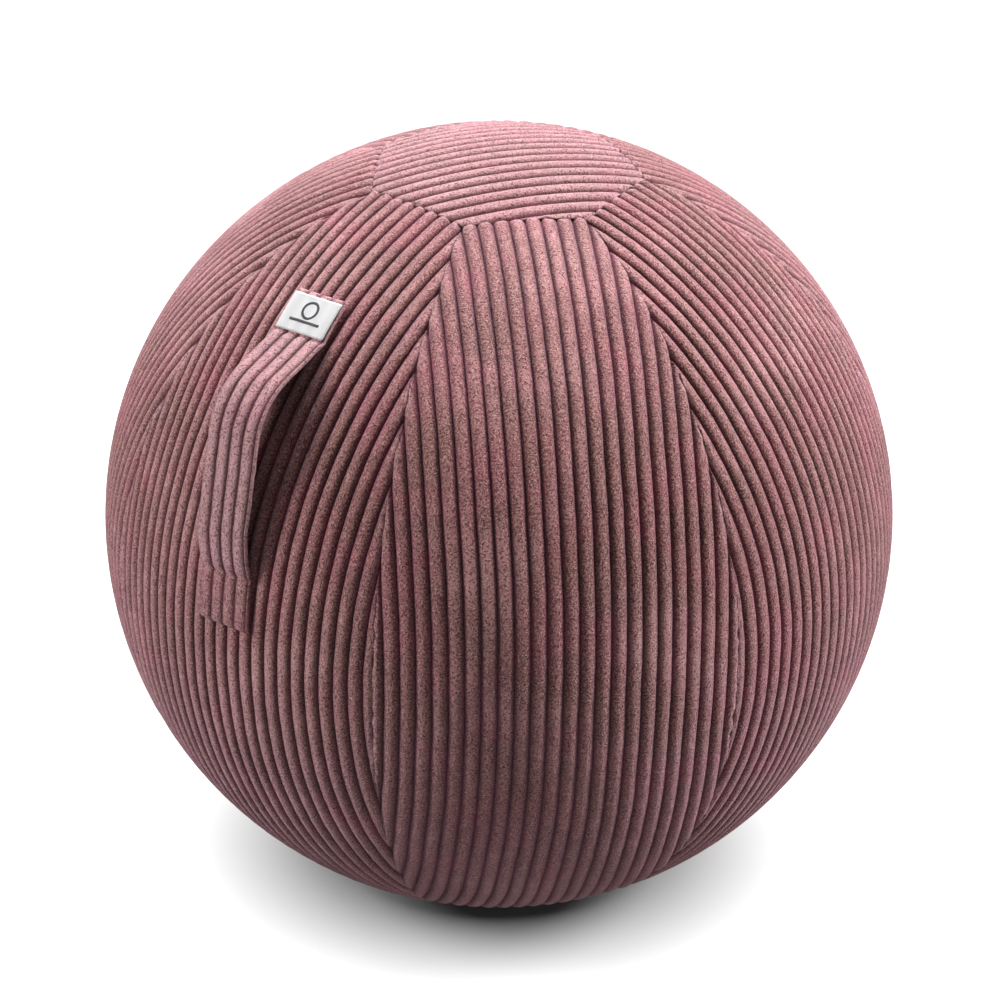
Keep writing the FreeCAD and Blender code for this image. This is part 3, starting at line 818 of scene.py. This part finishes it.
def sweepStrap(mesh, rail):
    # rail is a closed section at the lower end, its points as width and height
    ring = [mesh.verts.new((across, -(ballRadius + height), 0)) for across, height in rail]
    edges = [mesh.edges.new(pair) for pair in zip(ring, ring[1:] + ring[:1])]
    bmesh.ops.rotate(mesh, cent=origin, matrix=Matrix.Rotation(-strap["lowEnd"], 3, "X"), verts=ring)
    bmesh.ops.contextual_create(mesh, geom=edges)
    place = meridianPoint(strap["lowEnd"], ballRadius)
    way = strap["lowEnd"]
    last = ring + edges
    for kind, amount, rounding in strapMoves():
        along = Vector((0, math.sin(way), math.cos(way)))
        outward = Vector((0, -math.cos(way), math.sin(way)))
        if kind == "turn":
            pivot = place - outward * math.copysign(rounding, amount)
            steps = max(2, math.ceil(abs(amount) * rounding / strap["step"]))
            swept = bmesh.ops.spin(mesh, geom=last, cent=pivot, axis=-rightward, angle=amount, steps=steps)
            last = swept["geom_last"]
            place = pivot + Matrix.Rotation(-amount, 3, "X") @ (place - pivot)
            way += amount
        else:
            steps = math.ceil(amount / strap["step"])
            for step in range(steps):
                grown = bmesh.ops.extrude_edge_only(
                    mesh, edges=[part for part in last if isinstance(part, bmesh.types.BMEdge)])
                last = [part for part in grown["geom"] if not isinstance(part, bmesh.types.BMFace)]
                moved = [part for part in last if isinstance(part, bmesh.types.BMVert)]
                bmesh.ops.translate(mesh, vec=along * (amount / steps), verts=moved)
            place = place + along * amount
    bmesh.ops.contextual_create(
        mesh, geom=[part for part in last if isinstance(part, bmesh.types.BMEdge)])


def latitudeOf(point):
    return math.asin(point.z / point.length)


def settleStrap(mesh):
    # squeezed where it is sewn, dented at both folds, rounded at its cut ends
    for point in mesh.verts:
        latitude = latitudeOf(point.co)
        height = point.co.length - ballRadius
        sewn = latitude < strap["lowFold"] or latitude > strap["highFold"]
        toFold = min(abs(latitude - strap[fold]) for fold in ("lowFold", "highFold")) * ballRadius
        toEnd = min(latitude - strap["lowEnd"], strap["highEnd"] - latitude) * ballRadius
        upper = min(max(height, 0) / strap["thickness"], 1.0)
        change = -upper * strap["seamDent"] * (1 - smooth(toFold / strap["seamReach"]))
        if sewn:
            change -= height * strap["sewnPress"]
            change -= height * 0.45 * (1 - smooth(toEnd / strap["endRound"]))
        change += noise.noise(point.co * 110) * strap["uneven"] * upper
        point.co += point.co.normalized() * change
        point.co.x += noise.noise(point.co * 45 + Vector((3, 5, 7))) * strap["uneven"] * 1.6


def placeOnStrap(mesh):
    outward = meridianPoint((strap["lowFold"] + strap["highFold"]) / 2, 1)
    turnAll(mesh, strap["lean"], outward)
    turnAll(mesh, strap["shift"], "Z")
    bmesh.ops.translate(mesh, vec=centre, verts=mesh.verts)


def alongStrap(point):
    return point.x, latitudeOf(point) * ballRadius


def blendStrap(piece):
    # sewn down below the line between the folds, free from there on outwards
    outward = meridianPoint((strap["lowFold"] + strap["highFold"]) / 2, 1)
    outward = Matrix.Rotation(strap["shift"], 3, "Z") @ outward
    foldLine = ballRadius * math.cos((strap["highFold"] - strap["lowFold"]) / 2)
    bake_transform(piece, "ball", "handle", start=centre + outward * (foldLine + 0.002),
             end=centre + outward * (foldLine + 0.018))


def strapLength():
    return sum(abs(amount) * rounding if kind == "turn" else amount
               for kind, amount, rounding in strapMoves())


def strapSection():
    # ribs on top, rolled edges, and two lips that fold in under the webbing
    left = -strap["width"] / 2
    top = strap["thickness"]
    core = strap["lining"] + strap["webbing"]
    section = [(left + 0.0002, 0.0003), (left, 0.0016)]
    crests = [0.3, 0.35]
    for rib in range(4):
        for phase in cord["samples"]:
            drop = ribDrop(phase)
            section.append((left + strap["ribPitch"] * (rib + phase), top - strap["ribDepth"] * drop))
            crests.append(1 - drop)
    right = -left
    section += [(right - 0.0012, top - 0.0023), (right - 0.0007, top - 0.0012), (right, top - 0.0016),
                (right + 0.0004, 0.0019), (right, 0.0005), (right - 0.0010, 0.0002),
                (strap["coreHalf"] + 0.0002, 0.0002), (strap["coreHalf"] + 0.0002, core),
                (-strap["coreHalf"] - 0.0002, core), (-strap["coreHalf"] - 0.0002, 0.0002)]
    # low rib heights on the rolled edges, the sides and the lips paint groove shade there, as under the strap
    crests += [0.1, 0.7, 1.0, 0.8, 0.5, 0.4, 0.3, 0.2, 0.2, 0.3]
    return section, crests


def makeStrap():
    mesh = bmesh.new()
    ribHeight = mesh.verts.layers.float.new("ribHeight")
    napAndPaintedSheen = mesh.verts.layers.float.new("napAndPaintedSheen")
    section, crests = strapSection()
    sweepStrap(mesh, section)
    rings = len(section)
    mesh.verts.ensure_lookup_table()
    for number, point in enumerate(mesh.verts):
        point[ribHeight] = crests[number % rings]
        # painted sheen on the free loop, little on the sewn tab
        point[napAndPaintedSheen] = strap["lifted"] * (0.2 + 0.8 * smooth((latitudeOf(point.co) - strap["lowFold"]) / 0.04))
    settleStrap(mesh)
    pointNormalsOut(mesh)
    placeOnStrap(mesh)
    piece = addPiece("strapCord", mesh, cordPile, body=None,
                     replaces=["handle_strap", "handle_upper_end", "handle_lower_end"])
    blendStrap(piece)
    strapLength()


def makeStrapBand(name, node, material, low, high, inset):
    half = strap["coreHalf"] - inset
    corner = min(0.0004, (high - low) / 3)
    section = [(-half, low + corner), (-half, high - corner), (-half + corner, high)]
    section += [(half * share, high) for share in (-0.5, 0, 0.5)]
    section += [(half - corner, high), (half, high - corner), (half, low + corner), (half - corner, low)]
    section += [(half * share, low) for share in (0.5, 0, -0.5)]
    section += [(-half + corner, low)]
    mesh = bmesh.new()
    sweepStrap(mesh, section)
    settleStrap(mesh)
    pointNormalsOut(mesh)
    giveUv(mesh, alongStrap)
    placeOnStrap(mesh)
    piece = addPiece(name, mesh, material, body=None, replaces=[node])
    blendStrap(piece)
    strapLength()


makeStrap()
makeStrapBand("strapLining", "handle_lining", darkLining, 0.0, strap["lining"], 0.0)
makeStrapBand("strapWebbing", "handle_webbing", webCloth, strap["lining"] + 0.00005,
              strap["lining"] + strap["webbing"] - 0.00005, 0.0004)
print("strap sewn on")

label = {
    "width": 0.048,
    "low": math.radians(46.3),
    "high": math.radians(51.9),
    "thickness": 0.0005,
    "lift": 0.0054,                        # over the strap's sewn end
    "ripple": 0.00022,
    "stitch": (0.0026, 0.00055, 0.00045),
    "stitchInset": 0.0016,
    "stitchCount": 13,
    "ringRadius": 0.0068,
    "markThread": 0.0011,
    "bar": (0.0150, 0.0011),               # half length, half width
}


def onLabel(across, along, height):
    latitude = (label["low"] + label["high"]) / 2 + along / ballRadius
    fromCrest = across + (strap["width"] - strap["ribPitch"]) / 2
    ripple = label["ripple"] * math.cos(math.tau * fromCrest / strap["ribPitch"])
    point = meridianPoint(latitude, ballRadius + label["lift"] + height + ripple)
    return point + Vector((across, 0, 0))


def finishOnLabel(name, mesh, material, replaces=()):
    giveUv(mesh, lambda point: (point.x, point.y))
    for point in mesh.verts:
        point.co = onLabel(*point.co)
    pointNormalsOut(mesh)
    placeOnStrap(mesh)
    return addPiece(name, mesh, material, replaces=replaces)


def makeLabel():
    halfLength = (label["high"] - label["low"]) * ballRadius / 2
    cloth = bmesh.new()
    bmesh.ops.create_grid(cloth, x_segments=32, y_segments=20, size=1)
    bmesh.ops.scale(cloth, vec=(label["width"] / 2, halfLength, 1), verts=cloth.verts)
    bmesh.ops.solidify(cloth, geom=cloth.faces[:], thickness=label["thickness"])
    lowest = min(point.co.z for point in cloth.verts)
    bmesh.ops.translate(cloth, vec=(0, 0, -lowest), verts=cloth.verts)
    for point in cloth.verts:
        edge = min(label["width"] / 2 - abs(point.co.x), halfLength - abs(point.co.y))
        point.co.z -= 0.00035 * (1 - smooth(edge / 0.0012))
    piece = finishOnLabel("labelCloth", cloth, labelCloth, ["label"])

    threads = bmesh.new()
    for side in (-1, 1):
        for number in range(label["stitchCount"]):
            share = (number + 0.5) / label["stitchCount"] - 0.5
            middle = Vector((share * (label["width"] - 0.003), side * (halfLength - label["stitchInset"]),
                             label["thickness"]))
            stitch = bmesh.ops.create_uvsphere(threads, u_segments=8, v_segments=5, radius=0.5)
            bmesh.ops.scale(threads, vec=label["stitch"], verts=stitch["verts"])
            bmesh.ops.translate(threads, vec=middle, verts=stitch["verts"])
    finishOnLabel("labelStitches", threads, whiteThread)

    mark = bmesh.new()
    section = bmesh.ops.create_circle(mark, segments=8, radius=label["markThread"])
    bmesh.ops.rotate(mark, cent=origin, matrix=Matrix.Rotation(math.pi / 2, 3, "X"), verts=section["verts"])
    bmesh.ops.translate(mark, vec=(label["ringRadius"], 0, 0), verts=section["verts"])
    bmesh.ops.spin(mark, geom=mark.verts[:] + mark.edges[:], cent=origin, axis=upward, angle=math.tau,
                   steps=48, use_merge=True)
    bmesh.ops.translate(mark, vec=(0, 0.0035, 0), verts=mark.verts)
    bar = bmesh.ops.create_cube(mark, size=2)["verts"]
    bmesh.ops.scale(mark, vec=(label["bar"][0], label["bar"][1], label["markThread"]), verts=bar)
    bmesh.ops.translate(mark, vec=(0, -0.0065, 0), verts=bar)
    edges = list({edge for point in bar for edge in point.link_edges})
    bmesh.ops.subdivide_edges(mark, edges=[edge for edge in edges if edge.calc_length() > 0.01], cuts=11)
    bmesh.ops.scale(mark, vec=(1, 1, 0.22), verts=mark.verts)
    bmesh.ops.translate(mark, vec=(0, 0, label["thickness"]), verts=mark.verts)
    finishOnLabel("labelMark", mark, markThread)


makeLabel()
print("label sewn on")


# camera, light and floor
view = {
    "azimuth": math.radians(42.4),
    "elevation": math.radians(27.4),
    "distance": 9.3,                       # ball radii
    "roll": math.radians(1.0),
    "lens": 131.1,
    "shift": (0.001, 0.014),
}


studio = {
    "bounce": 0.30,                        # how pale the floor is to the lamps
    "floorPaintedShadow": ((0.0, 0.56), (0.095, 0.52), (0.150, 0.34)),   # and to the eye: a painted shadow that darkens the floor from the middle outwards
    "shadowReach": 0.127,                  # full shadow out to here, and a white backdrop from there on
    "backdrop": 0.243,
    "shadowStretch": 1.10,
    "floorHalf": 12,
    "fill": 0.12,
    "overhead": (Vector((-0.65, 0.95, 2.5)), 1.2, 86),       # place, width, power
    "fromRight": (Vector((2.0, 1.6, 1.9)), 1.0, 92),
    "fromLeft": (Vector((-1.7, -1.98, 1.6)), 1.0, 68),
}


def makeCamera():
    away = view["distance"] * ballRadius
    flat = math.cos(view["elevation"])
    direction = Vector((math.sin(view["azimuth"]) * flat, -math.cos(view["azimuth"]) * flat,
                        math.sin(view["elevation"])))
    camera = bpy.data.objects.new("camera", bpy.data.cameras.new("camera"))
    camera.data.lens = view["lens"]
    camera.data.shift_x, camera.data.shift_y = view["shift"]
    camera.data.clip_end = 50
    turn = direction.to_track_quat("Z", "Y").to_matrix() @ Matrix.Rotation(view["roll"], 3, "Z")
    camera.matrix_world = Matrix.Translation(centre + direction * away) @ turn.to_4x4()
    bpy.context.scene.collection.objects.link(camera)
    bpy.context.scene.camera = camera


def softBox(name, place, size, power):
    data = bpy.data.lights.new(name, "AREA")
    data.shape = "DISK"
    data.size = size
    data.energy = power
    lamp = bpy.data.objects.new(name, data)
    lamp.matrix_world = (Matrix.Translation(place)
                         @ (place - centre).to_track_quat("Z", "Y").to_matrix().to_4x4())
    bpy.context.scene.collection.objects.link(lamp)


def makeFloor():
    # pale to the lamps, white to the eye with a painted shadow around the middle, and the far part lit as a
    # backdrop
    material, tree, shader = newMaterial("paleFloor")
    rays = tree.nodes.new("ShaderNodeLightPath")
    seen = calculate(tree, "MAXIMUM", rays.outputs["Is Camera Ray"], rays.outputs["Is Glossy Ray"])
    seen = calculate(tree, "MAXIMUM", seen, rays.outputs["Is Transmission Ray"])
    place = addNode(tree, "ShaderNodeVectorMath", operation="LENGTH")
    spread = addNode(tree, "ShaderNodeMapping", vector_type="TEXTURE", in_Scale=(studio["shadowStretch"], 1, 1),
                     in_Rotation=(0, 0, view["azimuth"]))
    tree.links.new(tree.nodes.new("ShaderNodeTexCoord").outputs["Object"], spread.inputs["Vector"])
    tree.links.new(spread.outputs["Vector"], place.inputs[0])
    far = addRamp(tree, place.outputs["Value"], [(studio["shadowReach"], grey(0)), (studio["backdrop"], grey(1))])
    # painted shadow: the floor's colour to the eye falls from the middle outwards
    paintedShadowRamp = addRamp(tree, place.outputs["Value"], [(reach, grey(shade)) for reach, shade in studio["floorPaintedShadow"]])
    pale = mixColour(tree, seen, grey(studio["bounce"]), paintedShadowRamp)
    tree.links.new(mixColour(tree, far, pale, grey(studio["bounce"])), shader.inputs["Base Color"])
    shader.inputs["Emission Color"].default_value = grey(1)
    tree.links.new(calculate(tree, "MULTIPLY", far, seen), shader.inputs["Emission Strength"])
    shader.inputs["Roughness"].default_value = 1.0
    shader.inputs["Specular IOR Level"].default_value = 0.0
    slab = bmesh.new()
    bmesh.ops.create_grid(slab, x_segments=1, y_segments=1, size=studio["floorHalf"])
    addPiece("floor", slab, material, body=None, smoothShade=False)


def makeWorld():
    world = bpy.data.worlds.new("studio")
    world.use_nodes = True
    tree = world.node_tree
    background = tree.nodes["Background"]
    rays = tree.nodes.new("ShaderNodeLightPath")
    seen = calculate(tree, "MAXIMUM", rays.outputs["Is Camera Ray"], rays.outputs["Is Glossy Ray"])
    seen = calculate(tree, "MAXIMUM", seen, rays.outputs["Is Transmission Ray"])
    tree.links.new(mixColour(tree, seen, grey(studio["fill"]), grey(1.0)), background.inputs["Color"])
    bpy.context.scene.world = world


makeCamera()
makeFloor()
makeWorld()
for lamp in ("overhead", "fromRight", "fromLeft"):
    softBox(lamp, *studio[lamp])
bpy.context.scene.view_settings.view_transform = "Standard"
print("studio ready")

for node, material in (("bladder", bladderVinyl), ("valve_seat", valveVinyl), ("valve_plug", valveVinyl),
                       ("weight_ring_filling", ringSand),
                       ("zip_slider", zipMetal), ("zip_pull", zipMetal), ("zip_top_stops", zipMetal),
                       ("zip_bottom_stop", zipMetal)):
    finished = bpy.data.objects[node]
    finished.data.materials.clear()
    finished.data.materials.append(material)
